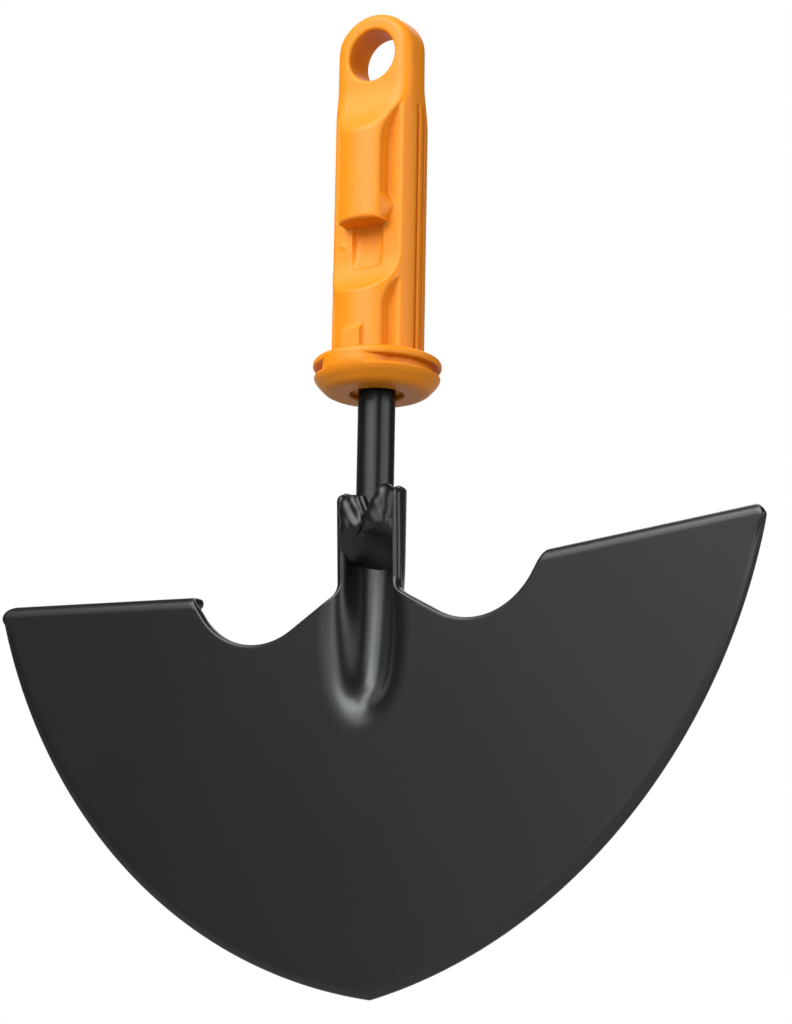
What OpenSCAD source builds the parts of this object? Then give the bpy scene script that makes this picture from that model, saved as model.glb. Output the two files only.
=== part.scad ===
// Half moon edger head: a pressed blade, a welded tang and a moulded plug for a handle.
// The origin is on the tang's axis at the top of the plug's flange, where a handle seats.
// +Z runs up the tang, the blade hangs below, and the front of the blade faces -Y.

/* [Blade] */
// Width of the blade from tip to tip, mm
blade_width = 238.2; // [220:0.1:256]
// Height of the blade from the bottom point to the shoulder line, mm
blade_height = 108.3; // [104:0.1:114]
// Thickness of the sheet, mm
sheet = 2.5; // [2:0.1:3]
// Radius of each bottom edge, mm
edge_radius = 152; // [145:0.5:165]
// Rise of each tread towards its tip, degrees
tread_rise = 4; // [2:0.1:6]
// Depth of each folded tread from front to back, mm
tread_depth = 8; // [7:0.1:10]
// Outer radius of the fold along each tread, mm
fold_radius = 3.5; // [3.2:0.1:4.5]
// Softening at the free edge of each tread, mm
lip_soften = 0.6; // [0.3:0.05:0.8]
// Rounding of each tread's corners at its free edge, mm
lip_corner = 2; // [1.5:0.1:2.5]
// Width of the pressed round-over along the bottom edge, mm
round_width = 2.4; // [1.8:0.1:3.2]
// Depth of the round-over at the bottom edge, mm
round_drop = 0.6; // [0.3:0.05:0.9]
// Forward lean of the blade against the tang, degrees
lean = 3; // [2:0.1:4]
// Distance of the blade's front ahead of the tang's axis at the shoulder, mm
face_lead = 5.25; // [4.5:0.05:5.6]

/* [Notch and neck] */
// Distance of each notch's centre from the axis, mm
notch_x = 33.6; // [32:0.1:36]
// Height of each notch's centre above the shoulder line, mm
notch_rise = 9.6; // [9:0.1:11]
// Radius of each notch, mm
notch_radius = 21.2; // [20:0.1:22.5]
// Slope of the notch's inner side, degrees
notch_slope = 30; // [26:0.5:34]
// Slope of the notch's outer side, degrees
notch_flare = 57; // [52:0.5:62]
// Half width of the neck at its front edges, mm
neck_half = 8.4; // [8:0.1:8.8]
// Radius in the corner between neck and notch, mm
neck_corner = 5; // [4:0.1:6]
// Height of the neck's top above the shoulder line, mm
neck_top = 26.9; // [25:0.1:30]
// Rounding at the neck's top corners, mm
neck_round = 1.6; // [1.2:0.1:2]
// Inside radius of the channel, mm
channel_radius = 7; // [6.6:0.1:7.4]
// Radius of the soft shoulders beside the trough, mm
trough_soft = 8; // [7:0.1:9]
// Radius of the channel's shoulders in the neck, mm
neck_soft = 5; // [4.8:0.1:6]
// Height above the shoulder line where the shoulders start to widen, mm
soft_from = 4; // [2:0.5:6]
// Length over which the shoulders widen, mm
soft_length = 18; // [15:0.5:20]
// Distance from the shoulder line down to where the trough's nose starts, mm
nose_drop = 21; // [19:0.1:23]
// Width of the nose as a share of its length
nose_share = 0.62; // [0.56:0.01:0.7]
// Fall of the trough's floor as a share of its length
floor_share = 0.15; // [0.12:0.01:0.17]
// Distance from the shoulder line down to where the trough reaches the tang's depth, mm
ramp_drop = 0.8; // [0:0.1:2]
// Length over which the trough's floor bends into the neck, mm
ramp_blend = 1.2; // [0.8:0.1:1.3]

/* [Tang and welds] */
// Diameter of the tang, mm
tang_d = 10; // [9.6:0.1:10.4]
// Height of the tang's lower end above the shoulder line, mm
tang_foot = 14.3; // [14:0.1:15]
// Bevel at both ends of the tang, mm
tang_bevel = 0.8; // [0.4:0.1:1.2]
// Distance from the shoulder line up to the flange's top, mm
seat_rise = 62.8; // [60:0.1:70]
// Thickness of the flattened tail, mm
tail_thick = 5.4; // [5:0.1:5.8]
// Width of the flattened tail, mm
tail_width = 14; // [12:0.1:15]
// Height above the seat where the tang begins to flatten, mm
tail_from = 10; // [8:0.5:12]
// Thickness left on each side where the flattening starts, mm
tail_lead = 1; // [0.6:0.1:1.4]
// Length over which the tang flattens, mm
tail_blend = 10; // [9:0.5:13]
// Height of the tail's end above the seat, mm
tail_top = 64; // [62:0.5:66]
// Diameter of the two holes in the tail, mm
tail_hole_d = 5; // [4:0.1:6]
// Height of the lower tail hole above the seat, mm
tail_hole_low = 43; // [42:0.5:44]
// Distance between the two tail holes, mm
tail_hole_pitch = 11; // [10:0.5:12]
// Distance between the ripples of a weld, mm
weld_pitch = 2.4; // [2:0.1:2.6]
// Radius of a weld's ripples, mm
weld_radius = 2.5; // [2.3:0.1:2.8]
// Angle of the weld's line about the tang at its top, degrees from the front
weld_angle = 58; // [54:1:62]
// Angle by which the line turns towards the front over its length, degrees
weld_turn = 26; // [20:1:30]
// Distance of the weld's line from the tang's axis, mm
weld_reach = 6; // [5.8:0.05:6.3]
// Height of the lump's top above the tang's lower end, mm
lump_rise = 1.6; // [1.2:0.1:2]
// Height of the lump's front edge above the tang's lower end, mm
lump_edge = 0.6; // [0.3:0.1:0.9]
// Distance of the lump's front edge from the tang's axis, mm
lump_lead = 6.2; // [5.8:0.1:6.6]
// Slant of the lump's lower face against the tang's axis, degrees
lump_slant = 48; // [46:0.5:52]

/* [Plug] */
// Diameter of the plug's body, mm
plug_d = 24.8; // [24.4:0.1:25.4]
// Height of the eyelet's centre above the seat, mm
eye_rise = 85; // [83:0.1:88]
// Outer radius of the eyelet, mm
eye_radius = 12.1; // [11.8:0.1:12.3]
// Height above the seat where the body starts to narrow towards the eyelet, mm
eye_shoulder = 69; // [66:0.5:72]
// Diameter of the hanging hole, mm
eye_hole_d = 14.4; // [13.8:0.1:15]
// Thickness of the eyelet, mm
eye_thick = 10.2; // [9.8:0.1:10.6]
// Distance of the eyelet's middle ahead of the tang's axis, mm
eye_lead = 0.9; // [0.5:0.1:1.2]
// Rounding at both mouths of the hanging hole, mm
eye_lip = 0.9; // [0.7:0.1:1.2]
// Radius of the scoops below the eyelet, mm
scoop_radius = 20; // [18:0.5:24]
// Depth of the front flat ahead of the tang's axis, mm
flat_lead = 6.2; // [5.9:0.05:6.6]
// Half width of the latch block, mm
block_half = 6.4; // [6.1:0.05:6.7]
// Height of the latch ledge above the seat, mm
ledge_rise = 36.4; // [35.5:0.1:37.5]
// Height where the latch block starts to flare, mm
flare_rise = 57.4; // [56:0.1:59]
// Radius of the flare at the top of the latch block, mm
flare_radius = 22.4; // [20:0.2:25]
// Reach of the gussets beside the ledge, mm
gusset_reach = 1.6; // [1.3:0.1:1.9]
// Height of the gussets' foot above the ledge, mm
gusset_rise = 0.8; // [0.5:0.1:1.2]
// Height of the gussets at their outer end, mm
gusset_height = 5; // [4:0.1:6]
// Extra height of the gussets at the block, mm
gusset_slope = 2.4; // [1.6:0.1:3.2]
// Height of the gussets above the front flat, mm
gusset_proud = 2.2; // [1.8:0.1:2.6]
// Radius of the scoop that runs out of the front flat, mm
run_radius = 14; // [12:0.5:16]
// Height where the front flat starts to run out, mm
run_rise = 28.3; // [27.5:0.1:29]
// Half width of the latch pocket, mm
pocket_half = 4.5; // [4:0.1:5]
// Height of the latch pocket's bottom above the seat, mm
pocket_rise = 24.4; // [23.5:0.1:25.5]
// Depth of the latch pocket below the flat, mm
pocket_depth = 1.8; // [1.2:0.1:1.9]
// Corner radius of the latch pocket, mm
pocket_corner = 3; // [2:0.1:3.5]
// Half width of the lower block, mm
foot_half = 7.3; // [6.8:0.05:7.6]
// Height where the lower block starts to flare, mm
foot_rise = 12.1; // [11:0.1:13]
// Radius of the flare at the top of the lower block, mm
foot_radius = 11.4; // [10:0.2:13]
// Width of the key on the front of the lower block, mm
key_width = 5.9; // [5:0.1:7]
// Height of the key, mm
key_height = 7; // [6.5:0.1:8]
// Distance that the key stands proud, mm
key_proud = 1; // [0.6:0.05:1.4]
// Bevel at the key's top, mm
key_bevel = 1.6; // [1:0.1:2]
// Width of the grooves along both sides, mm
groove_width = 1.2; // [0.9:0.1:1.4]
// Depth of the grooves along both sides, mm
groove_depth = 0.8; // [0.5:0.05:1]
// Height of the grooves' top above the seat, mm
groove_top = 70; // [66:0.5:72]
// Angle of the forward groove, degrees from the front
groove_front = 86; // [84:0.5:88]
// Angle of the rearward groove, degrees from the front
groove_back = 101; // [99:0.5:104]
// Radius of the gate mark on the front flat, mm
gate_radius = 0.8; // [0.5:0.05:1]
// Height of the gate mark, mm
gate_proud = 0.3; // [0.2:0.05:0.4]
// Height of the gate mark above the seat, mm
gate_rise = 31.6; // [30:0.1:33]
// Distance of the gate mark from the axis, mm
gate_x = 7.8; // [7:0.1:8.4]

/* [Flange] */
// Diameter of the flange, mm
flange_d = 34.4; // [33:0.1:36]
// Thickness of the flange's rim, mm
flange_thick = 6.8; // [6.4:0.1:7.4]
// Rounding of the flange's rims, mm
flange_round = 1.5; // [1:0.1:2]
// Radius of the flat under the flange, mm
cone_radius = 13.4; // [12.6:0.1:14]
// Distance from the seat down to the flat under the flange, mm
cone_drop = 9.4; // [9:0.1:10]
// Width of the groove in the flange's rim, mm
rim_width = 2; // [1.4:0.1:2.4]
// Depth of the groove in the flange's rim, mm
rim_depth = 2.5; // [1.5:0.1:3]
// Distance from the seat down to the middle of the rim's groove, mm
rim_drop = 3.5; // [3.2:0.1:3.8]
// Radius of the webs that close the rim's groove at the front and back, mm
web_radius = 10.2; // [9.8:0.1:10.6]
// Distance of each web's centre from the axis, mm
web_lead = 8; // [7.8:0.1:8.3]
// Diameter of the recess around the tang under the flange, mm
under_d = 14.4; // [13:0.1:16]
// Depth of the recess around the tang under the flange, mm
under_depth = 1.5; // [1:0.1:2]

/* [Hidden] */
$fn = 96;
// Clearance that keeps touching pieces from sharing volume, mm
fit_gap = 0.03;
// Margin by which cutting shapes run past what they cut, mm
over = 4;
tang_r = tang_d / 2;
plug_r = plug_d / 2;
flange_r = flange_d / 2;
fold_inner = fold_radius - sheet;
// Flat margin beside the trough in the middle strip, mm
strip_margin = 2;
// Length of the middle strip's fine rows below the start of the nose, mm
nose_margin = 20;
// Centre depth below which the trough's columns keep their places, mm
shallow_centre = -3;
// Angle of the bottom edge left free at each tip, degrees
tip_turn = 0.6;
// Turn that keeps the seam of a revolved cut off the plug's planes of symmetry, degrees
seam_turn = 20;
// Largest share of a column that one row of the round-over takes
edge_row_share = 0.2;
// Smallest slant counted between a column and the edge
least_slant_share = 0.1;

// Counts of the blade's rows and columns
edge_rows = 3;
low_rows = 3;
trough_rows = 12;
line_rows = 2;
corner_rows = 4;
neck_rows = 5;
round_rows = 3;
arc_cols = 6;
side_cols = 7;
notch_cols = 14;
tread_cols = 14;
bend_rows = 5;
wing_rows = edge_rows + low_rows + trough_rows;
all_rows = wing_rows + line_rows + corner_rows + neck_rows + round_rows;
centre_cols = 2 * (arc_cols + side_cols);
wing_cols = notch_cols + tread_cols;
lip_rows = 4;
fold_rows = bend_rows + lip_rows;

// Directions along and across a tread in the blade's plane
along = [cos(tread_rise), sin(tread_rise)];
across = [-sin(tread_rise), cos(tread_rise)];

// Half width of the middle strip that carries the trough
strip_half = channel_radius + trough_soft + strip_margin;

// Outer side of the notch: a slope that leaves the notch's arc and ends where the tread starts to bend
notch_centre = [notch_x, notch_rise];
flare_way = [cos(notch_flare), sin(notch_flare)];
flare_start = notch_centre + notch_radius * [sin(notch_flare), -cos(notch_flare)];
flare_length = -(flare_start * across + fold_radius) / (flare_way * across);
notch_end = flare_start + flare_length * flare_way;

// Tip of the right tread on the bend line, and the centre of the edge that runs up to it
tip = [blade_width / 2, blade_width / 2 * tan(tread_rise) - fold_radius / cos(tread_rise)];
bottom = [0, -blade_height];
edge_chord = tip - bottom;
edge_turned = [-edge_chord[1], edge_chord[0]] / norm(edge_chord);
edge_centre = (tip + bottom) / 2 + edge_turned * sqrt(pow(edge_radius, 2) - pow(norm(edge_chord) / 2, 2));

// Bottom edge: its angle at a distance from the axis, and its height
function edge_angle(x) = asin((x - edge_centre[0]) / edge_radius);
function edge_height(x) = edge_centre[1] - edge_radius * cos(edge_angle(x));
function edge_point(a) = edge_centre + edge_radius * [sin(a), -cos(a)];

edge_start = edge_angle(strip_half);
edge_middle = edge_angle(notch_end[0]);
edge_end = edge_angle(tip[0]) - tip_turn;

// Inner side of the notch: a slope that runs into the notch's arc
slope_start = notch_centre + notch_radius * [-sin(notch_slope), -cos(notch_slope)];
strip_top = slope_start[1] + (slope_start[0] - strip_half) * tan(notch_slope);
slope_length = (slope_start[0] - strip_half) / cos(notch_slope);
notch_length = notch_radius * (notch_flare + notch_slope) * PI / 180;

// Point of the notch's outline at a distance along it
function notch_point(d) =
    d < slope_length
    ? [strip_half + d * cos(notch_slope), strip_top - d * sin(notch_slope)]
    : d < slope_length + notch_length
        ? notch_arc((d - slope_length) / notch_radius * 180 / PI - notch_slope)
        : flare_start + (d - slope_length - notch_length) * flare_way;
function notch_arc(a) = notch_centre + notch_radius * [sin(a), -cos(a)];

// Bottom and top ends of a wing's column
function column_foot(k) =
    k <= notch_cols
    ? edge_point(edge_start + (edge_middle - edge_start) * k / notch_cols)
    : edge_point(edge_middle + (edge_end - edge_middle) * (k - notch_cols) / tread_cols);
function column_head(k) =
    k <= notch_cols
    ? notch_point((slope_length + notch_length + flare_length) * k / notch_cols)
    : notch_end + (tip - notch_end) * (k - notch_cols) / tread_cols;

// Share of a column at which a row lies, by the column's length and its slant to the edge
strip_foot = edge_height(strip_half);
low_share = (-nose_drop - nose_margin - strip_foot) / (strip_top - strip_foot);
function edge_share(i, length, slant) =
    min(round_width * i / edge_rows / slant / length, edge_row_share * i);
function body_share(i) =
    i <= low_rows
    ? low_share * i / low_rows
    : low_share + (1 - low_share) * (i - low_rows) / trough_rows;
function row_share(i, length, slant) =
    i <= edge_rows
    ? edge_share(i, length, slant)
    : edge_share(edge_rows, length, slant)
        + (1 - edge_share(edge_rows, length, slant)) * body_share(i - edge_rows);

// Depth of the round-over in a row near the edge
function round_depth(i) = i < edge_rows ? round_drop * pow(1 - i / edge_rows, 2) : 0;

// Depth of the trough's floor behind the blade's front at a height
function neck_floor(s) = (tang_r + fit_gap + face_lead + s * sin(lean)) / cos(lean);
function ramp_floor(s) = neck_floor(-ramp_drop) + (s + ramp_drop) * floor_share;
function soft_step(a, b) = max(ramp_blend - abs(a - b), 0);
function soft_min(a, b) = min(a, b) - pow(soft_step(a, b), 2) / ramp_blend / 4;
function floor_depth(s) = max(soft_min(ramp_floor(s), neck_floor(s)), 0);

// Radius of the trough's shoulders at a height: wide beside the trough, tighter in the neck
function widen_share(s) = min(max((soft_from - s) / soft_length, 0), 1);
function eased(share) = share * share * (3 - 2 * share);
function soft_at(s) = neck_soft + (trough_soft - neck_soft) * eased(widen_share(s));

// Section of the trough by its centre's depth c and its shoulders' radius r: an arc for the channel, an arc
// for each shoulder. Below the start of the nose, x is measured from there, so that the trough ends as a bowl
function centre_depth(s) = floor_depth(s) - channel_radius;
function soft_x(c, r) = sqrt(max(pow(channel_radius + r, 2) - pow(r - c, 2), 0));
function meet_x(c, r) = channel_radius * soft_x(c, r) / (channel_radius + r);
function depth_at(x, c, r) =
    x < meet_x(c, r)
    ? c + sqrt(channel_radius * channel_radius - x * x)
    : x < soft_x(c, r)
        ? r - sqrt(max(r * r - pow(soft_x(c, r) - x, 2), 0))
        : 0;
function normal_at(x, c, r) =
    x < meet_x(c, r)
    ? [x, sqrt(channel_radius * channel_radius - x * x)] / channel_radius
    : x < soft_x(c, r)
        ? [soft_x(c, r) - x, r - depth_at(x, c, r)] / r
        : [0, 1];
function nose_fall(s) = min(s + nose_drop, 0) * nose_share;

// Distance of a middle column from the axis, in a strip of the stated half width
col_gather = 1.5;
function col_x(j, meet, half) =
    j <= arc_cols
    ? channel_radius * sin(asin(meet / channel_radius) * j / arc_cols)
    : meet + (half - meet) * pow((j - arc_cols) / side_cols, col_gather);

// Outline of the neck above the notch: slope, corner, straight side and rounded top
corner_x = neck_half + neck_corner;
corner_s = strip_top + (neck_corner - (corner_x - strip_half) * sin(notch_slope)) / cos(notch_slope);
corner_foot = [corner_x, corner_s] - neck_corner * [sin(notch_slope), cos(notch_slope)];
straight_top = neck_top - neck_round;
function corner_point(a) = [corner_x - neck_corner * cos(a), corner_s - neck_corner * sin(a)];
function neck_outline(i) =
    i <= line_rows
    ? [strip_half, strip_top] + (corner_foot - [strip_half, strip_top]) * i / line_rows
    : i <= line_rows + corner_rows
        ? corner_point((90 - notch_slope) * (1 - (i - line_rows) / corner_rows))
        : i <= line_rows + corner_rows + neck_rows
            ? [neck_half, corner_s + (straight_top - corner_s) * (i - line_rows - corner_rows) / neck_rows]
            : top_corner((i - line_rows - corner_rows - neck_rows) * 90 / round_rows);
function top_corner(a) = [neck_half - neck_round * (1 - cos(a)), straight_top + neck_round * sin(a)];

// Height and half width of a row of the middle strip, and the channel's depth there
function strip_length(x) = strip_top - edge_height(x);
function row_height(i, x) =
    i <= wing_rows
    ? edge_height(x) + strip_length(x) * row_share(i, strip_length(x), cos(edge_angle(x)))
    : neck_outline(i - wing_rows)[1];
function row_half(i) = i <= wing_rows ? strip_half : neck_outline(i - wing_rows)[0];
function row_level(i) = row_height(i, row_half(i));
function row_meet(i) = meet_x(max(centre_depth(row_level(i)), shallow_centre), soft_at(row_level(i)));

// Front and back points of the blade as distance from the axis, height and depth
function strip_point(i, j, back) = strip_place(i, abs(j - centre_cols / 2), sign(j - centre_cols / 2), back);
function strip_place(i, j, side, back) = strip_make(i, col_x(j, row_meet(i), row_half(i)), side, back);
function strip_make(i, x, side, back) =
    let (s = row_height(i, x))
    let (fall = nose_fall(s))
    let (away = norm([x, fall]))
    let (way = away > 0 ? [x, fall * nose_share] / away : [0, 0])
    let (n = normal_at(away, centre_depth(s), soft_at(s)))
    let (d = depth_at(away, centre_depth(s), soft_at(s)))
    back
    ? [side * (x + sheet * n[0] * way[0]), s + sheet * n[0] * way[1], d + sheet * n[1]]
    : [side * x, s, d + round_depth(i)];
function wing_point(i, k, side, back) =
    let (run = column_head(k) - column_foot(k))
    let (slant = max((run / norm(run)) * edge_inward(k), least_slant_share))
    let (p = column_foot(k) + run * row_share(i, norm(run), slant))
    [side * p[0], p[1], back ? sheet : round_depth(i)];
function foot_angle(k) = edge_angle(column_foot(k)[0]);
function edge_inward(k) = [-sin(foot_angle(k)), cos(foot_angle(k))];
function fold_point(r, k, side, back) =
    let (a = min(r / bend_rows, 1) * 90)
    let (turn = max(r - bend_rows - 1, 0) / (lip_rows - 1) * 90)
    let (inset = r == fold_rows ? lip_soften : 0)
    let (bend = back ? fold_inner : fold_radius)
    let (rise = bend * sin(a) + (back ? inset : -inset))
    let (part = (k - notch_cols) / tread_cols)
    let (corner = lip_corner * (1 - cos(turn)))
    let (at_tip = fold_radius * (1 - cos(a)) + corner)
    let (at_notch = fold_radius * sin(a) / tan(notch_flare) + corner)
    let (p = column_head(k) + rise * across + ((1 - part) * at_notch - part * at_tip) * along)
    let (lip = tread_depth - lip_corner * (1 - sin(turn)))
    let (d = r > bend_rows ? lip : fold_radius - bend * cos(a))
    [side * p[0], p[1], d];

// Places of the points in one list: middle strip, right wing, left wing, right fold, left fold
strip_count = (all_rows + 1) * (centre_cols + 1);
wing_count = (wing_rows + 1) * wing_cols;
fold_count = fold_rows * (tread_cols + 1);
side_count = strip_count + 2 * wing_count + 2 * fold_count;
function strip_index(i, j) = i * (centre_cols + 1) + j;
function wing_index(w, i, k) =
    k == 0
    ? strip_index(i, w == 0 ? centre_cols : 0)
    : strip_count + w * wing_count + (k - 1) * (wing_rows + 1) + i;
function fold_index(w, r, k) =
    r == 0
    ? wing_index(w, wing_rows, k)
    : strip_count + 2 * wing_count + w * fold_count + (k - notch_cols) * fold_rows + r - 1;

// All points of one side of the sheet, set into the part's frame
function in_frame(p) = [
    p[0],
    p[2] * cos(lean) - p[1] * sin(lean) - face_lead,
    p[1] * cos(lean) + p[2] * sin(lean) - seat_rise
];
function sheet_points(back) = [
    for (i = [0 : all_rows]) for (j = [0 : centre_cols]) in_frame(strip_point(i, j, back)),
    for (w = [0, 1]) for (k = [1 : wing_cols]) for (i = [0 : wing_rows])
        in_frame(wing_point(i, k, 1 - 2 * w, back)),
    for (w = [0, 1]) for (k = [notch_cols : wing_cols]) for (r = [1 : fold_rows])
        in_frame(fold_point(r, k, 1 - 2 * w, back))
];

// Two triangles for each four-sided patch, turned over where asked
function patch(a, b, c, d, turned) = turned ? [[a, c, b], [a, d, c]] : [[a, b, c], [a, c, d]];
front_faces = [
    for (i = [0 : all_rows - 1]) for (j = [0 : centre_cols - 1]) for (f = patch(
        strip_index(i, j), strip_index(i + 1, j), strip_index(i + 1, j + 1), strip_index(i, j + 1), false)) f,
    for (w = [0, 1]) for (k = [0 : wing_cols - 1]) for (i = [0 : wing_rows - 1]) for (f = patch(
        wing_index(w, i, k), wing_index(w, i + 1, k),
        wing_index(w, i + 1, k + 1), wing_index(w, i, k + 1), w == 1)) f,
    for (w = [0, 1]) for (k = [notch_cols : wing_cols - 1]) for (r = [0 : fold_rows - 1]) for (f = patch(
        fold_index(w, r, k), fold_index(w, r + 1, k),
        fold_index(w, r + 1, k + 1), fold_index(w, r, k + 1), w == 1)) f
];
back_faces = [for (f = front_faces) [f[0] + side_count, f[2] + side_count, f[1] + side_count]];

// The sheet's outline as one closed loop, from the left tip along the bottom edge
rim = [
    for (k = [wing_cols : -1 : 1]) wing_index(1, 0, k),
    for (j = [0 : centre_cols]) strip_index(0, j),
    for (k = [1 : wing_cols]) wing_index(0, 0, k),
    for (i = [1 : wing_rows]) wing_index(0, i, wing_cols),
    for (r = [1 : fold_rows]) fold_index(0, r, wing_cols),
    for (k = [wing_cols - 1 : -1 : notch_cols]) fold_index(0, fold_rows, k),
    for (r = [fold_rows - 1 : -1 : 0]) fold_index(0, r, notch_cols),
    for (k = [notch_cols - 1 : -1 : 0]) wing_index(0, wing_rows, k),
    for (i = [wing_rows + 1 : all_rows]) strip_index(i, centre_cols),
    for (j = [centre_cols - 1 : -1 : 0]) strip_index(all_rows, j),
    for (i = [all_rows - 1 : -1 : wing_rows]) strip_index(i, 0),
    for (k = [1 : notch_cols]) wing_index(1, wing_rows, k),
    for (r = [1 : fold_rows]) fold_index(1, r, notch_cols),
    for (k = [notch_cols + 1 : wing_cols]) fold_index(1, fold_rows, k),
    for (r = [fold_rows - 1 : -1 : 0]) fold_index(1, r, wing_cols),
    for (i = [wing_rows - 1 : -1 : 1]) wing_index(1, i, wing_cols)
];
rim_count = len(rim);
rim_faces = [
    for (n = [0 : rim_count - 1]) for (f = patch(
        rim[n], rim[(n + 1) % rim_count],
        rim[(n + 1) % rim_count] + side_count, rim[n] + side_count, false)) f
];

// Pressed blade with treads, notches, trough and neck
module blade() {
    color([0.12, 0.12, 0.13])
        polyhedron(
            points = concat(sheet_points(false), sheet_points(true)),
            faces = concat(front_faces, back_faces, rim_faces)
        );
}

// Side view of the tang: clear of the round bar below, drawn in to the flat tail above
module tang_view(grow) {
    wide = tang_r + tail_lead + grow;
    thick = tail_thick / 2 + grow;
    polygon([
        [-wide, tang_foot - seat_rise - over],
        [wide, tang_foot - seat_rise - over],
        [wide, tail_from],
        [thick, tail_from + tail_blend],
        [thick, tail_top + grow],
        [-thick, tail_top + grow],
        [-thick, tail_from + tail_blend],
        [-wide, tail_from]
    ]);
}

// Round bar with a bevelled foot that spreads as it is flattened, with two holes in its tail
module tang_shape(grow) {
    foot = tang_foot - seat_rise;
    tail_r = tail_width / 2;
    difference() {
        intersection() {
            union() {
                translate([0, 0, foot])
                    cylinder(h = tang_bevel, r1 = tang_r - tang_bevel + grow, r2 = tang_r + grow);
                translate([0, 0, foot + tang_bevel])
                    cylinder(h = tail_from - foot - tang_bevel, r = tang_r + grow);
                translate([0, 0, tail_from])
                    cylinder(h = tail_blend, r1 = tang_r + grow, r2 = tail_r + grow);
                translate([0, 0, tail_from + tail_blend])
                    cylinder(h = tail_top + over - tail_from - tail_blend, r = tail_r + grow);
            }
            across_plug(plug_r)
                tang_view(grow);
        }
        for (n = [0, 1])
            translate([0, plug_r, tail_hole_low + n * tail_hole_pitch])
                rotate([90, 0, 0])
                    cylinder(h = plug_d, d = tail_hole_d - 2 * grow);
    }
}

// Steel bar that joins blade and plug
module tang() {
    color([0.1, 0.1, 0.11])
        tang_shape(0);
}

// Space inside the channel that the tang leaves free
module channel_space() {
    difference() {
        translate([0, tang_r + fit_gap - channel_radius, -seat_rise])
            cylinder(h = seat_rise, r = channel_radius - 2 * fit_gap);
        translate([0, 0, tang_foot - seat_rise - fit_gap])
            cylinder(h = seat_rise, r = tang_r + fit_gap);
    }
}

// Bead of overlapping ripples between the tang and one wall of the channel
module weld_bead(side) {
    lump_top = tang_foot - seat_rise + lump_rise;
    head = neck_top - seat_rise - weld_pitch;
    count = floor((head - lump_top - weld_radius) / weld_pitch);
    intersection() {
        for (n = [0 : count])
            rotate([0, 0, side * (weld_angle - weld_turn * n / count)])
                translate([0, -weld_reach, head - n * weld_pitch])
                    sphere(r = weld_radius);
        channel_space();
        translate([-plug_r, -plug_r, lump_top + fit_gap])
            cube([plug_d, plug_d, seat_rise]);
    }
}

// Lump of weld that closes the channel under the tang, with a slanting lower face
module foot_weld() {
    foot = tang_foot - seat_rise;
    deep = channel_radius + lump_lead;
    color([0.1, 0.1, 0.11])
        intersection() {
            across_plug(plug_r)
                polygon([
                    [-lump_lead, foot + lump_rise],
                    [-lump_lead, foot + lump_edge],
                    [deep - lump_lead, foot + lump_edge - deep / tan(lump_slant)],
                    [deep - lump_lead, foot + lump_rise]
                ]);
            channel_space();
        }
}

module left_weld() {
    color([0.1, 0.1, 0.11])
        weld_bead(-1);
}

module right_weld() {
    color([0.1, 0.1, 0.11])
        weld_bead(1);
}

// Lays a front view, drawn in X and Z, through the part from the stated depth forwards
module forward_from(y, length = plug_d) {
    translate([0, y, 0])
        rotate([90, 0, 0])
            linear_extrude(height = length)
                children();
}

// Lays a side view, drawn in Y and Z, across the plug
module across_plug(half) {
    translate([-half, 0, 0])
        rotate([90, 0, 90])
            linear_extrude(height = 2 * half)
                children();
}

// Side view of the cut that forms one face of the eyelet, at a distance from the tang's axis
module eye_cut_view(face) {
    start = eye_rise - eye_hole_d / 2 - eye_lip;
    translate([-face - scoop_radius, start])
        circle(r = scoop_radius);
    translate([-face - scoop_radius, start])
        square([scoop_radius, eye_rise + eye_radius + over - start]);
}

// Front view of the space beside a block with straight sides that flare at its top
module beside_block(half, from, rise, radius) {
    translate([half, from])
        square([plug_r + over - half, rise - from]);
    intersection() {
        translate([half + radius, rise])
            circle(r = radius);
        translate([half, rise - fit_gap])
            square([plug_r + over - half, radius]);
    }
}

// Front view of the space right of the latch block, with the gusset left standing
module latch_side_view() {
    difference() {
        beside_block(block_half, run_rise, flare_rise, flare_radius);
        polygon([
            [block_half - over, ledge_rise + gusset_rise],
            [block_half + gusset_reach, ledge_rise + gusset_rise],
            [block_half + gusset_reach, ledge_rise + gusset_rise + gusset_height],
            [block_half, ledge_rise + gusset_rise + gusset_height + gusset_slope],
            [block_half - over, ledge_rise + gusset_rise + gusset_height + gusset_slope]
        ]);
    }
}

// Side view of the front flat below the ledge and its run-out
module run_view() {
    translate([-flat_lead - run_radius, run_rise])
        circle(r = run_radius);
    translate([-flat_lead - run_radius, run_rise])
        square([run_radius, ledge_rise - run_rise]);
}

// Front view of the latch pocket with rounded lower corners
module pocket_view() {
    inner = pocket_half - pocket_corner;
    for (side = [-1, 1])
        translate([side * inner, pocket_rise + pocket_corner])
            circle(r = pocket_corner);
    translate([-inner, pocket_rise])
        square([2 * inner, pocket_corner]);
    translate([-pocket_half, pocket_rise + pocket_corner])
        square([2 * pocket_half, ledge_rise - pocket_rise - pocket_corner]);
}

// Hanging hole with rounded mouths
module eye_hole() {
    r = eye_hole_d / 2;
    half = eye_thick / 2;
    translate([0, -eye_lead, eye_rise])
        rotate([90, seam_turn, 0])
            rotate_extrude() {
                translate([0, -half - over])
                    square([r, 2 * (half + over)]);
                for (side = [-1, 1])
                    difference() {
                        translate([0, side > 0 ? half - eye_lip : -half - over])
                            square([r + eye_lip, eye_lip + over]);
                        translate([r + eye_lip, side * (half - eye_lip)])
                            circle(r = eye_lip);
                        translate([r, side > 0 ? half : -half - 2 * over])
                            square([eye_lip + over, 2 * over]);
                    }
            }
}

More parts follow.
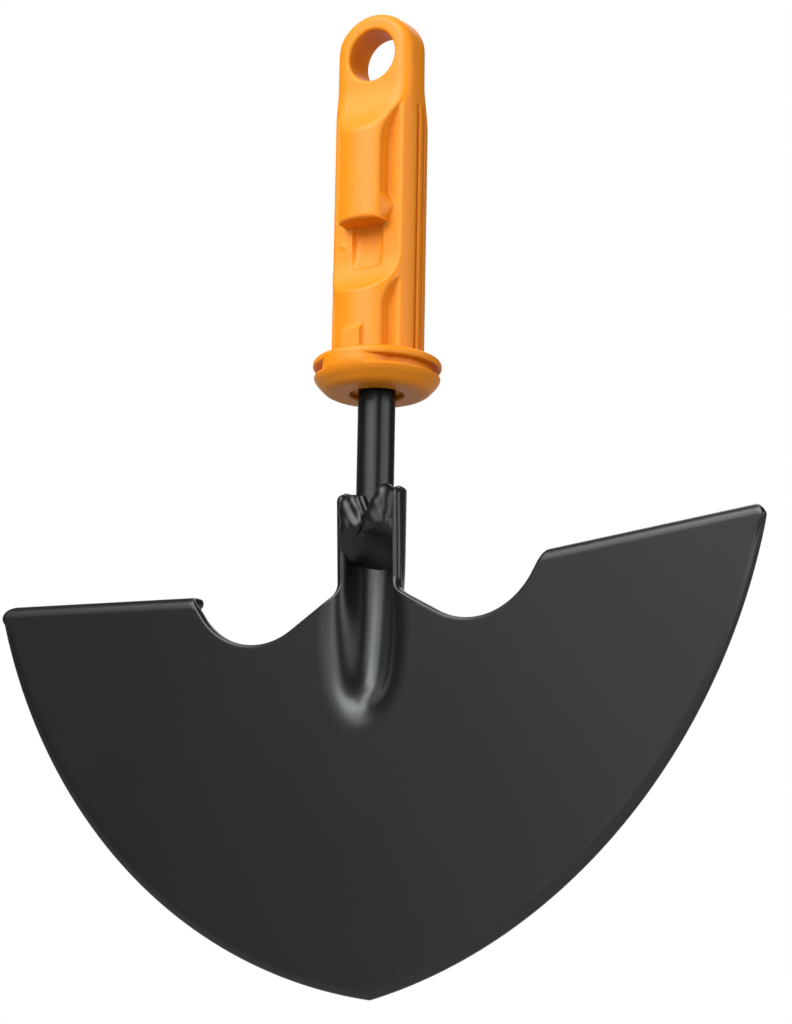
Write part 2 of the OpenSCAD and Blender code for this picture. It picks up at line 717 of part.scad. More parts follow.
// Flange with rounded rims over a flat cone, with a groove that the two webs close
module flange() {
    inner = flange_r - flange_round;
    difference() {
        rotate_extrude() {
            translate([0, flange_round - flange_thick])
                square([inner, flange_thick - flange_round]);
            translate([0, flange_round - flange_thick])
                square([flange_r, flange_thick - 2 * flange_round]);
            translate([inner, -flange_round])
                circle(r = flange_round);
            polygon([
                [0, flange_round - flange_thick],
                [0, -cone_drop],
                [cone_radius, -cone_drop],
                [flange_r, flange_round - flange_thick]
            ]);
        }
        translate([0, 0, -rim_drop - rim_width / 2])
            linear_extrude(height = rim_width)
                difference() {
                    circle(r = flange_r + over);
                    circle(r = flange_r - rim_depth);
                    for (side = [-1, 1])
                        translate([0, side * web_lead])
                            circle(r = web_radius);
                }
    }
}

// Front view of the plug's body: straight sides that narrow to touch the eyelet's circle
module body_view() {
    fall = eye_shoulder - eye_rise;
    away = norm([plug_r, fall]);
    turn = atan2(fall, plug_r) + acos(eye_radius / away);
    touch = [eye_radius * cos(turn), eye_rise + eye_radius * sin(turn)];
    translate([0, eye_rise])
        circle(r = eye_radius);
    polygon([
        [-plug_r, eye_shoulder],
        [-plug_d, eye_shoulder],
        [-plug_d, -flange_thick - over],
        [plug_d, -flange_thick - over],
        [plug_d, eye_shoulder],
        [plug_r, eye_shoulder],
        touch,
        [-touch[0], touch[1]]
    ]);
}

// Body of the plug with its rounded head, before anything is cut from it
module plug_body() {
    intersection() {
        translate([0, 0, -flange_thick])
            cylinder(h = flange_thick + eye_rise + eye_radius, r = plug_r);
        forward_from(plug_d, 2 * plug_d)
            body_view();
    }
}

// Small key on the front of the lower block
module key() {
    across_plug(key_width / 2)
        polygon([
            [-plug_r + key_bevel, 0],
            [-plug_r - key_proud, 0],
            [-plug_r - key_proud, key_height - key_bevel],
            [-plug_r, key_height],
            [-plug_r + key_bevel, key_height]
        ]);
}

// Moulded plug over the tang
module plug() {
    color([0.95, 0.55, 0.12])
        difference() {
            union() {
                difference() {
                    plug_body();
                    across_plug(plug_d)
                        eye_cut_view(eye_thick / 2 + eye_lead);
                    mirror([0, 1, 0])
                        across_plug(plug_d)
                            eye_cut_view(eye_thick / 2 - eye_lead);
                    for (side = [0, 1])
                        mirror([side, 0, 0]) {
                            forward_from(-flat_lead)
                                latch_side_view();
                            forward_from(-flat_lead - gusset_proud)
                                beside_block(block_half, ledge_rise, flare_rise, flare_radius);
                            forward_from(-flat_lead)
                                beside_block(foot_half, 0, foot_rise, foot_radius);
                            for (a = [groove_front, groove_back])
                                rotate([0, 0, a])
                                    translate([-groove_width / 2, -plug_r - over, 0])
                                        cube([groove_width, over + groove_depth, groove_top]);
                        }
                    across_plug(plug_d)
                        run_view();
                    forward_from(pocket_depth - flat_lead)
                        pocket_view();
                }
                flange();
                key();
                translate([-gate_x, -flat_lead + gate_proud, gate_rise])
                    rotate([90, 0, 0])
                        cylinder(h = 2 * gate_proud, r = gate_radius);
            }
            eye_hole();
            tang_shape(fit_gap);
            translate([0, 0, -cone_drop - over])
                cylinder(h = under_depth + over, d = under_d);
        }
}

blade();
tang();
left_weld();
right_weld();
foot_weld();
plug();
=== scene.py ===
import math

import bpy
import numpy as np
from mathutils import Matrix, Vector


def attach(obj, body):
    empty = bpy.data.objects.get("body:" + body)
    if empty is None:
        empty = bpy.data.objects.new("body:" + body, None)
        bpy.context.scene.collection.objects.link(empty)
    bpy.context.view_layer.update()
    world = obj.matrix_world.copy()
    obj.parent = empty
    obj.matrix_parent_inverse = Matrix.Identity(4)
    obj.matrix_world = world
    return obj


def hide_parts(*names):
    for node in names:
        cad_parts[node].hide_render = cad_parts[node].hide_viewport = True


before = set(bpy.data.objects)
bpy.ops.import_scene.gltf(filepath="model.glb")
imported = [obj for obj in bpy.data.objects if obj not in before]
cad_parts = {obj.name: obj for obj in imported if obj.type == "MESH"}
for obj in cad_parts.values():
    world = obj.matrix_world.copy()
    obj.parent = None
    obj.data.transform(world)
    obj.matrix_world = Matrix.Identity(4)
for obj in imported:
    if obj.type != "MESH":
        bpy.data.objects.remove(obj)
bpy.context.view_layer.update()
bpy.context.scene.view_settings.view_transform = "Standard"
print("frame loaded with", sorted(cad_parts))

mm = 0.001  # sizes below are in millimetres, meshes in metres


# A socket that can be added, taken away and multiplied like a number
class Wire:
    def __init__(self, finish, socket):
        self.finish = finish
        self.socket = socket

    def maths(self, operation, first, second):
        return self.finish.add("ShaderNodeMath", {"operation": operation}, {0: first, 1: second})

    def __add__(self, other):
        return self.maths("ADD", self, other)

    def __sub__(self, other):
        return self.maths("SUBTRACT", self, other)

    def __rsub__(self, other):
        return self.maths("SUBTRACT", other, self)

    def __mul__(self, other):
        return self.maths("MULTIPLY", self, other)

    __radd__ = __add__
    __rmul__ = __mul__


# A material, or the world, with one shader, to which nodes are added one at a time
class Finish:
    def __init__(self, owner, shader="Principled BSDF"):
        self.owner = owner
        owner.use_nodes = True
        self.tree = owner.node_tree
        self.shader = self.tree.nodes[shader]

    # settings are set first, then each input gets a value or a link; the chosen output comes back
    def add(self, kind, settings=None, inputs=None, output=0):
        node = self.tree.nodes.new(kind)
        for key, value in (settings or {}).items():
            setattr(node, key, value)
        for key, value in (inputs or {}).items():
            self.feed(node.inputs[key], value)
        return Wire(self, node.outputs[output])

    def feed(self, socket, value):
        if isinstance(value, Wire):
            self.tree.links.new(value.socket, socket)
        else:
            socket.default_value = value

    # inputs of the shader by name, with _ for a space
    def set(self, **values):
        for key, value in values.items():
            self.feed(self.shader.inputs[key.replace("_", " ")], value)

    # noise over the piece's own place: size in millimetres, octaves, and how much each octave keeps
    def noise(self, size, octaves, keeps):
        place = self.add("ShaderNodeTexCoord", output="Object")
        return self.add("ShaderNodeTexNoise", {"noise_dimensions": "3D"},
                        {"Vector": place, "Scale": 1 / (size * mm), "Detail": octaves, "Roughness": keeps})

    # blend of two colours by a mask; 6, 7 and 2 are the Mix node's colour sockets
    def blend(self, mask, first, second):
        return self.add("ShaderNodeMix", {"data_type": "RGBA"}, {0: mask, 6: first, 7: second}, 2)

    # height from 0 to 1, with a depth in millimetres, turned into a bent normal
    def bump(self, height, depth):
        return self.add("ShaderNodeBump", None, {"Strength": 1.0, "Distance": depth * mm, "Height": height})

    # middle value with a change around it, by a mask
    def spread(self, mask, middle, change):
        return mask * change + (middle - change / 2)

    # three masks: what the camera sees, what a reflection sees, and what is seen through glass
    def rays(self):
        return [self.add("ShaderNodeLightPath", output=f"Is {kind} Ray")
                for kind in ("Camera", "Glossy", "Transmission")]


# Mesh from points in millimetres and faces, smooth all over, riding on the only body in place of a CAD node
def putPiece(name, points, faces, material, slot, node, normals=None):
    mesh = bpy.data.meshes.new(name)
    mesh.from_pydata((np.asarray(points) * mm).tolist(), [], np.asarray(faces).tolist())
    mesh.polygons.foreach_set("use_smooth", np.ones(len(mesh.polygons), dtype=bool))
    mesh.materials.append(material)
    if normals is not None:
        mesh.normals_split_custom_set_from_vertices(normals.tolist())
    mesh.update()
    piece = bpy.data.objects.new(name, mesh)
    bpy.context.scene.collection.objects.link(piece)
    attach(piece, "root")
    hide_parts(node)
    print(name, "has", len(mesh.vertices), "points and", len(mesh.polygons), "faces")


# satin black paint: fine orange peel, slow change of tone and of gloss; a noise is size, octaves, keeps
paintLook = dict(dark=(0.0030, 0.0031, 0.0034, 1), pale=(0.0046, 0.0047, 0.0050, 1), rough=0.31,
                 roughChange=0.07, specular=0.44, tint=(0.93, 0.98, 1.0, 1), tone=(55.0, 3.0, 0.55),
                 dust=(0.45, 2.0, 0.6), colourDust=0.2, glossDust=0.4, peel=(1.1, 2.0, 0.5), peelDepth=0.012)


def blackPaint(name, look):
    finish = Finish(bpy.data.materials.new(name))
    tone, dust, peel = (finish.noise(*look[key]) for key in ("tone", "dust", "peel"))
    colour, gloss = (tone * (1 - look[key]) + dust * look[key] for key in ("colourDust", "glossDust"))
    finish.set(Base_Color=finish.blend(colour, look["dark"], look["pale"]),
               Roughness=finish.spread(gloss, look["rough"], look["roughChange"]),
               Normal=finish.bump(peel, look["peelDepth"]),
               Specular_IOR_Level=look["specular"],
               Specular_Tint=look["tint"])
    return finish.owner


# orange moulding: slight flow of colour, fine satin grain, a little light inside it
plasticLook = dict(deep=(0.70, 0.210, 0.003, 1), light=(0.76, 0.238, 0.005, 1), rough=0.44,
                   roughChange=0.12, specular=0.27, flow=(14.0, 3.0, 0.6), grain=(0.32, 2.0, 0.6),
                   glossGrain=0.5, grainDepth=0.010, inner=0.06, innerColour=(1.0, 0.35, 0.08), innerDepth=1.2)


def orangePlastic(name, look):
    finish = Finish(bpy.data.materials.new(name))
    flow, grain = (finish.noise(*look[key]) for key in ("flow", "grain"))
    gloss = flow * (1 - look["glossGrain"]) + grain * look["glossGrain"]
    finish.set(Base_Color=finish.blend(flow, look["deep"], look["light"]),
               Roughness=finish.spread(gloss, look["rough"], look["roughChange"]),
               Normal=finish.bump(grain, look["grainDepth"]),
               Specular_IOR_Level=look["specular"],
               Subsurface_Weight=look["inner"],
               Subsurface_Radius=look["innerColour"],
               Subsurface_Scale=look["innerDepth"] * mm)
    return finish.owner


bladePaint = blackPaint("bladePaint", paintLook)
tangPaint = blackPaint("tangPaint", dict(paintLook, rough=0.30, specular=0.33, peel=(0.8, 2.0, 0.5)))
weldPaint = blackPaint("weldPaint", dict(paintLook, rough=0.33, specular=0.32, peel=(0.9, 2.0, 0.5),
                                         peelDepth=0.02))
plugPlastic = orangePlastic("plugPlastic", plasticLook)
print("finishes ready")

# pressed blade, sizes as in the CAD model; rim is the rounding of the sheet's edge
# the last three lines are the grid: rows and columns, and where they gather or stop
blade = dict(width=238.2, height=108.3, edgeRadius=152.0, sheet=2.5, rim=0.7,
             treadRise=4.0, treadDepth=8.0, foldRadius=3.5, lipCorner=2.0, roundWidth=2.4, roundDrop=0.6,
             lean=3.0, faceLead=5.25, seatRise=62.8, tangR=5.0, gap=0.03,
             notchX=33.6, notchRise=9.6, notchRadius=21.2, notchSlope=30.0, notchFlare=57.0,
             neckHalf=8.4, neckCorner=5.0, neckTop=26.9, neckRound=1.6,
             channelRadius=7.0, troughSoft=8.0, neckSoft=5.0, softFrom=4.0, softLength=18.0,
             rampSlope=0.15, rampDrop=0.8, rampBlend=1.2, noseDrop=21.0, noseShare=0.62, noseBlend=5.0,
             smoothWidth=2.6, smoothFrom=6.0, smoothLength=14.0, smoothSteps=6,
             edgeRows=8, lowRows=14, troughRows=48, lineRows=6, cornerRows=12, neckRows=14, roundRows=6,
             arcCols=22, sideCols=24, notchCols=56, treadCols=56, bendRows=10, lipRows=10, rimSteps=8,
             stripMargin=2.0, noseMargin=22.0, edgeShare=0.6, sideGather=1.5, tipShort=0.6, shallow=-3.0)


# unit vector at an angle in degrees from straight down, to the right
def turned(angle):
    return np.stack([np.sin(np.radians(angle)), -np.cos(np.radians(angle))], -1)


# Blade as two grids of points, front and back, joined by a rounded rim. The middle strip is the trough's section
# at each height, the wings run straight from the bottom edge to the notch and the tread, and the treads are arcs
def bladeSurface(b):
    r = b["rim"]
    width, height, edgeRadius = b["width"] - 2 * r, b["height"] - r, b["edgeRadius"] - r
    neckHalf, neckTop, notchRadius = b["neckHalf"] - r, b["neckTop"] - r, b["notchRadius"] + r
    cornerRadius, treadDepth = b["neckCorner"] + r, b["treadDepth"] - r
    rise, slope, lean = (math.radians(b[key]) for key in ("treadRise", "notchSlope", "lean"))
    along = np.array([math.cos(rise), math.sin(rise)])
    across = np.array([-math.sin(rise), math.cos(rise)])
    channel = b["channelRadius"]
    stripHalf = channel + b["troughSoft"] + b["stripMargin"]

    # where the tread starts to bend: the notch's circle and the tip both end on that line
    notchCentre = np.array([b["notchX"], b["notchRise"]])
    flare = math.radians(b["notchFlare"])
    flareWay = np.array([math.cos(flare), math.sin(flare)])
    flareStart = notchCentre + notchRadius * np.array([math.sin(flare), -math.cos(flare)])
    flareLength = -(flareStart @ across + b["foldRadius"]) / (flareWay @ across)
    notchEnd = flareStart + flareLength * flareWay
    tip = np.array([width / 2, width / 2 * math.tan(rise) - b["foldRadius"] / math.cos(rise)])

    # bottom edge: circle through the bottom point and the tip
    bottom = np.array([0.0, -height])
    chord = tip - bottom
    chordLength = np.linalg.norm(chord)
    edgeCentre = (tip + bottom) / 2 + np.array([-chord[1], chord[0]]) / chordLength * math.sqrt(
        edgeRadius ** 2 - chordLength ** 2 / 4)

    # place on that circle at a distance from the middle: the arc sine, and the height below the centre
    def edgeAngle(x):
        return np.degrees(np.arcsin((x - edgeCentre[0]) / edgeRadius))

    def edgeHeight(x):
        return edgeCentre[1] - edgeRadius * np.cos(np.radians(edgeAngle(x)))

    # inner side of the notch: a slope that runs into the notch's circle
    slopeStart = notchCentre + notchRadius * np.array([-math.sin(slope), -math.cos(slope)])
    stripTop = slopeStart[1] + (slopeStart[0] - stripHalf) * math.tan(slope)
    slopeLength = (slopeStart[0] - stripHalf) / math.cos(slope)
    notchLength = notchRadius * (flare + slope)

    # floor of the trough behind the front: a ramp that bends softly into the neck, level with the tang's back
    def floorDepth(s):
        neck = (b["tangR"] + b["gap"] + b["faceLead"] + s * math.sin(lean)) / math.cos(lean)
        bendS = -b["rampDrop"]
        bendDepth = (b["tangR"] + b["gap"] + b["faceLead"] + bendS * math.sin(lean)) / math.cos(lean)
        ramp = bendDepth + (s - bendS) * b["rampSlope"]
        step = np.maximum(b["rampBlend"] - np.abs(ramp - neck), 0)
        return np.maximum(np.minimum(ramp, neck) - step ** 2 / b["rampBlend"] / 4, 0)

    # shoulder's radius at a height: wide beside the trough, tighter in the neck
    def softAt(s):
        share = np.clip((b["softFrom"] - s) / b["softLength"], 0, 1)
        return b["neckSoft"] + (b["troughSoft"] - b["neckSoft"]) * share * share * (3 - 2 * share)

    # section of the trough: an arc for the channel, an arc for the soft shoulder, then flat; x is measured
    # from the axis, and below the nose's centre from that centre, so that the trough ends like a bowl
    def section(x, c, soft):
        reach = channel + soft
        softX = np.sqrt(np.maximum(reach ** 2 - (soft - c) ** 2, 0))
        meetX = channel * softX / reach
        inArc, inSoft = x < meetX, x < softX
        arcDepth = np.sqrt(np.maximum(channel ** 2 - x ** 2, 0))
        softDepth = np.sqrt(np.maximum(soft ** 2 - (softX - x) ** 2, 0))
        depth = np.where(inArc, c + arcDepth, np.where(inSoft, soft - softDepth, 0))
        side = np.where(inArc, x / channel, np.where(inSoft, (softX - x) / soft, 0))
        back = np.where(inArc, arcDepth / channel, np.where(inSoft, softDepth / soft, 1))
        return depth, side, back

    # the section averaged over a width on both sides, so that its arcs run into each other without a line
    def smoothSection(x, c, soft, width):
        depth, fall = 0.0, 0.0
        steps = np.arange(1 - b["smoothSteps"], b["smoothSteps"])
        weights = b["smoothSteps"] - np.abs(steps)
        for n, weight in zip(steps, weights / weights.sum()):
            place = x + width * n / b["smoothSteps"]
            d, side, back = section(np.abs(place), c, soft)
            depth = depth + weight * d
            fall = fall + weight * side / np.maximum(back, 0.05) * np.sign(place)  # no steeper than 20 to 1
        back = 1 / np.hypot(fall, 1)
        return depth, fall * back, back

    # share of a column at which a row lies: the round-over first, then the face
    lowShare = (-b["noseDrop"] - b["noseMargin"] - edgeHeight(stripHalf)) / (stripTop - edgeHeight(stripHalf))
    wingRows = b["edgeRows"] + b["lowRows"] + b["troughRows"]

    def rowShare(i, length, slant):
        n = np.minimum(i, b["edgeRows"]) / b["edgeRows"]
        edge = np.minimum(b["roundWidth"] * n / slant / length, b["edgeShare"] * n)
        bodyRows = [0, b["lowRows"], b["lowRows"] + b["troughRows"]]
        body = np.interp(i - b["edgeRows"], bodyRows, [0, lowShare, 1])
        return edge + (1 - edge) * body

    # round-over of the bottom edge: a parabola over its rows
    def roundDepth(i):
        return b["roundDrop"] * np.maximum(1 - i / b["edgeRows"], 0) ** 2

    # outline of the neck above the notch: slope, corner, straight side, rounded top
    cornerX = neckHalf + cornerRadius
    cornerS = stripTop + (cornerRadius - (cornerX - stripHalf) * math.sin(slope)) / math.cos(slope)
    cornerFoot = np.array([cornerX, cornerS]) - cornerRadius * np.array([math.sin(slope), math.cos(slope)])
    stripCorner = np.array([stripHalf, stripTop])
    t = np.arange(1, b["lineRows"] + 1)[:, None] / b["lineRows"]
    line = stripCorner + (cornerFoot - stripCorner) * t
    a = (math.pi / 2 - slope) * (1 - np.arange(1, b["cornerRows"] + 1) / b["cornerRows"])
    corner = np.stack([cornerX - cornerRadius * np.cos(a), cornerS - cornerRadius * np.sin(a)], -1)
    straightTop = neckTop - b["neckRound"]
    t = np.arange(1, b["neckRows"] + 1) / b["neckRows"]
    straight = np.stack([np.full_like(t, neckHalf), cornerS + (straightTop - cornerS) * t], -1)
    a = np.arange(1, b["roundRows"] + 1) / b["roundRows"] * math.pi / 2
    top = np.stack([neckHalf - b["neckRound"] * (1 - np.cos(a)),
                    straightTop + b["neckRound"] * np.sin(a)], -1)
    neckOutline = np.concatenate([line, corner, straight, top])
    allRows = wingRows + len(neckOutline)

    # middle strip: columns gather along the channel's arc and its shoulder
    i = np.arange(allRows + 1)
    rowHalf = np.concatenate([np.full(wingRows + 1, stripHalf), neckOutline[:, 0]])
    length = stripTop - edgeHeight(stripHalf)
    wingS = edgeHeight(stripHalf) + length * rowShare(i[:wingRows + 1], length,
                                                      math.cos(math.radians(edgeAngle(stripHalf))))
    rowS = np.concatenate([wingS, neckOutline[:, 1]])
    rowC = (floorDepth(rowS) - channel)[:, None]
    rowSoft = softAt(rowS)[:, None]
    c = np.maximum(rowC, b["shallow"])
    rowReach = channel + rowSoft
    meet = channel * np.sqrt(np.maximum(rowReach ** 2 - (rowSoft - c) ** 2, 0)) / rowReach
    n = np.arange(b["arcCols"] + b["sideCols"] + 1)[None, :]
    arcX = channel * np.sin(np.arcsin(meet / channel) * np.minimum(n / b["arcCols"], 1))
    sideX = (rowHalf[:, None] - meet) * np.maximum((n - b["arcCols"]) / b["sideCols"], 0) ** b["sideGather"]
    x = arcX + sideX
    length = stripTop - edgeHeight(x)
    s = np.where(i[:, None] <= wingRows,
                 edgeHeight(x) + length * rowShare(i[:, None], length, np.cos(np.radians(edgeAngle(x)))),
                 rowS[:, None])
    # depth at each point, with the distance from the axis, or from the nose's centre below it
    toNose = s + b["noseDrop"]
    below = (toNose - np.hypot(toNose, b["noseBlend"])) / 2 * b["noseShare"]
    away = np.maximum(np.hypot(x, below), 1e-9)
    smooth = b["smoothWidth"] * np.clip((b["smoothFrom"] - s) / b["smoothLength"], 0, 1)
    depth, side, back = smoothSection(away, floorDepth(s) - channel, softAt(s), smooth)
    halfFront = np.stack([x, s, depth + roundDepth(i)[:, None]], -1)
    halfBack = np.stack([x + b["sheet"] * side * x / away,
                         s + b["sheet"] * side * below / away * b["noseShare"],
                         depth + b["sheet"] * back], -1)
    mirror = np.array([-1.0, 1, 1])
    strip = [np.concatenate([half[:, :0:-1] * mirror, half], 1) for half in (halfFront, halfBack)]

    # wings: columns from the bottom edge up to the notch and then the tread
    wingCols = b["notchCols"] + b["treadCols"]
    k = np.arange(1, wingCols + 1)
    footStops = [edgeAngle(stripHalf), edgeAngle(notchEnd[0]), edgeAngle(tip[0]) - b["tipShort"]]
    footAngle = np.interp(k, [0, b["notchCols"], wingCols], footStops)
    foot = edgeCentre + edgeRadius * turned(footAngle)
    d = (slopeLength + notchLength + flareLength) * np.minimum(k / b["notchCols"], 1)
    onSlope = stripCorner + d[:, None] * np.array([math.cos(slope), -math.sin(slope)])
    onArc = notchCentre + notchRadius * turned(np.degrees((d - slopeLength) / notchRadius - slope))
    onFlare = flareStart + (d - slopeLength - notchLength)[:, None] * flareWay
    onArc = np.where((d > slopeLength + notchLength)[:, None], onFlare, onArc)
    onTread = notchEnd + (tip - notchEnd) * np.maximum((k - b["notchCols"]) / b["treadCols"], 0)[:, None]
    onNotch = np.where((d < slopeLength)[:, None], onSlope, onArc)
    head = np.where((k > b["notchCols"])[:, None], onTread, onNotch)
    run = head - foot
    runLength = np.linalg.norm(run, axis=1)
    slant = np.maximum((run / runLength[:, None] * -turned(footAngle)).sum(1), 0.1)  # kept off zero
    rows = np.arange(wingRows + 1)[:, None]
    share = rowShare(rows, runLength[None, :], slant[None, :])
    flat = foot[None] + run[None] * share[..., None]
    wing = [np.concatenate([flat, np.broadcast_to(roundDepth(rows)[..., None], flat.shape[:2] + (1,))], -1),
            np.concatenate([flat, np.full(flat.shape[:2] + (1,), b["sheet"])], -1)]

    # treads: a quarter circle backwards from the bend line, then a straight lip
    foldRow = np.arange(1, b["bendRows"] + b["lipRows"] + 1)
    lipLength = treadDepth - b["foldRadius"]
    bend = np.minimum(foldRow / b["bendRows"], 1) * math.pi / 2
    beyond = np.maximum(foldRow - b["bendRows"], 0) / b["lipRows"] * lipLength
    kFold = np.arange(b["notchCols"], wingCols + 1)
    part = ((kFold - b["notchCols"]) / b["treadCols"])[None, :, None]
    left = np.maximum(b["lipCorner"] - (lipLength - beyond), 0) / b["lipCorner"]
    cornerPull = b["lipCorner"] * (1 - np.sqrt(1 - left ** 2)) * (foldRow > b["bendRows"])
    outerPull = b["foldRadius"] * (1 - np.cos(bend)) + cornerPull
    innerPull = b["foldRadius"] * np.sin(bend) / math.tan(flare) + cornerPull
    pull = (part * outerPull[:, None, None] - (1 - part) * innerPull[:, None, None]) * along
    fold = []
    for radius in (b["foldRadius"], b["foldRadius"] - b["sheet"]):
        place = head[kFold - 1][None] + (radius * np.sin(bend))[:, None, None] * across - pull
        deep = b["foldRadius"] - radius * np.cos(bend) + beyond
        fold.append(np.concatenate([place, np.broadcast_to(deep[:, None, None], place.shape[:2] + (1,))], -1))

    # numbers of the points: strip, right wing, left wing, right fold, left fold
    stripCols = strip[0].shape[1] - 1
    stripId = np.arange((allRows + 1) * (stripCols + 1)).reshape(allRows + 1, stripCols + 1)
    start = stripId.size
    wingId, foldId = [], []
    for column in (stripCols, 0):
        ids = start + np.arange((wingRows + 1) * wingCols).reshape(wingRows + 1, wingCols)
        wingId.append(np.concatenate([stripId[:wingRows + 1, column:column + 1], ids], 1))
        start += ids.size
    for w in (0, 1):
        ids = start + np.arange(fold[0].shape[0] * fold[0].shape[1]).reshape(fold[0].shape[:2])
        foldId.append(np.concatenate([wingId[w][-1:, b["notchCols"]:], ids], 0))
        start += ids.size

    # four corners of every cell of a grid of numbers, turned round on the mirrored side
    def quads(ids, flip):
        q = np.stack([ids[:-1, :-1], ids[:-1, 1:], ids[1:, 1:], ids[1:, :-1]], -1).reshape(-1, 4)
        return q[:, ::-1] if flip else q

    front = np.concatenate([quads(stripId, False), quads(wingId[0], False), quads(wingId[1], True),
                            quads(foldId[0], False), quads(foldId[1], True)])
    sides = []
    for n in (0, 1):
        parts = [strip[n], wing[n], wing[n] * mirror, fold[n], fold[n] * mirror]
        sides.append(np.concatenate([p.reshape(-1, 3) for p in parts]))

    # the sheet's outline as one loop, from the left tip along the bottom edge
    loop = np.concatenate([
        wingId[1][0, :0:-1], stripId[0], wingId[0][0, 1:], wingId[0][1:, -1], foldId[0][1:, -1],
        foldId[0][-1, -2::-1], foldId[0][-2::-1, 0], wingId[0][-1, b["notchCols"] - 1::-1],
        stripId[wingRows + 1:, -1], stripId[-1, -2::-1], stripId[-2:wingRows - 1:-1, 0],
        wingId[1][-1, 1:b["notchCols"] + 1], foldId[1][1:, 0], foldId[1][-1, 1:], foldId[1][-2::-1, -1],
        wingId[1][-2:0:-1, -1]])

    # blade's own plane set into the part's frame: leant back about the x axis, then moved to its seat
    def inFrame(p):
        return np.stack([p[:, 0], p[:, 2] * math.cos(lean) - p[:, 1] * math.sin(lean) - b["faceLead"],
                         p[:, 1] * math.cos(lean) + p[:, 2] * math.sin(lean) - b["seatRise"]], -1)

    # rim: half an ellipse from the front's edge round to the back's, pushed outwards
    frontPoints, backPoints = inFrame(sides[0]), inFrame(sides[1])
    f, g = frontPoints[loop], backPoints[loop]
    tangent = np.roll(f, -1, 0) - np.roll(f, 1, 0)
    outward = np.cross(tangent, f - g)
    outward /= np.linalg.norm(outward, axis=1)[:, None]
    points, faces = [frontPoints, backPoints], [front, front[:, ::-1] + len(frontPoints)]
    ring = [loop]
    count = 2 * len(frontPoints)
    for step in range(1, b["rimSteps"]):
        w = step / b["rimSteps"] * math.pi
        points.append(f + (g - f) * (0.5 - 0.5 * math.cos(w)) + r * math.sin(w) * outward)
        ring.append(count + np.arange(len(loop)))
        count += len(loop)
    ring.append(loop + len(frontPoints))
    for first, second in zip(ring[:-1], ring[1:]):
        faces.append(np.stack([first, second, np.roll(second, -1), np.roll(first, -1)], -1))
    return np.concatenate(points), np.concatenate(faces)


putPiece("bladeSheet", *bladeSurface(blade), bladePaint, "blade_paint", "blade")

# round bar, flattened where the plug holds it
tang = dict(radius=5.0, foot=-48.5, bevel=0.8, tailFrom=10.0, tailBlend=10.0, tailTop=64.0, tailHalf=7.0,
            tailThick=2.7, tailSquare=0.75, bevelRows=8, rows=160, cols=96)


# Round section carried up the axis; above the blend it spreads sideways and thins from front to back
def tangSurface(t):
    z = np.concatenate([[t["foot"]], np.linspace(t["foot"], t["foot"] + t["bevel"], t["bevelRows"]),
                        np.linspace(t["foot"] + t["bevel"], t["tailTop"], t["rows"])[1:], [t["tailTop"]]])
    shrink = np.maximum(1 - (z - t["foot"]) / t["bevel"], 0)
    radius = t["radius"] - t["bevel"] * (1 - np.sqrt(1 - np.minimum(shrink, 1) ** 2))
    share = np.clip((z - t["tailFrom"]) / t["tailBlend"], 0, 1)
    share = share * share * (3 - 2 * share)
    radius[0], closed = 0.0, np.ones_like(z)
    closed[-1] = 0.0
    a = np.arange(t["cols"]) / t["cols"] * 2 * math.pi
    wide = radius + (t["tailHalf"] - t["radius"]) * share
    thick = radius + (t["tailThick"] - t["radius"]) * share
    power = 1 - t["tailSquare"] * share[:, None]
    x = (wide * closed)[:, None] * np.sign(np.cos(a)) * np.abs(np.cos(a)) ** power
    y = (thick * closed)[:, None] * np.sign(np.sin(a)) * np.abs(np.sin(a)) ** power
    points = np.stack([x, y, np.broadcast_to(z[:, None], x.shape)], -1).reshape(-1, 3)
    ids = np.arange(len(points)).reshape(x.shape)
    ids = np.concatenate([ids, ids[:, :1]], 1)
    faces = np.stack([ids[:-1, :-1], ids[:-1, 1:], ids[1:, 1:], ids[1:, :-1]], -1).reshape(-1, 4)
    return points, faces


putPiece("tangBar", *tangSurface(tang), tangPaint, "tang_paint", "tang")


# Smallest and largest of two distances, blended over a width so that their meeting is rounded
def softMin(a, b, width):
    step = np.maximum(width - np.abs(a - b), 0) / width
    return np.minimum(a, b) - step * step * width / 4


def softMax(a, b, width):
    return -softMin(-a, -b, width)


# Largest of two distances with their meeting rounded to a radius
def roundMax(a, b, radius):
    first, second = a + radius, b + radius
    corner = np.hypot(np.maximum(first, 0), np.maximum(second, 0))
    return corner + np.minimum(np.maximum(first, second), 0) - radius


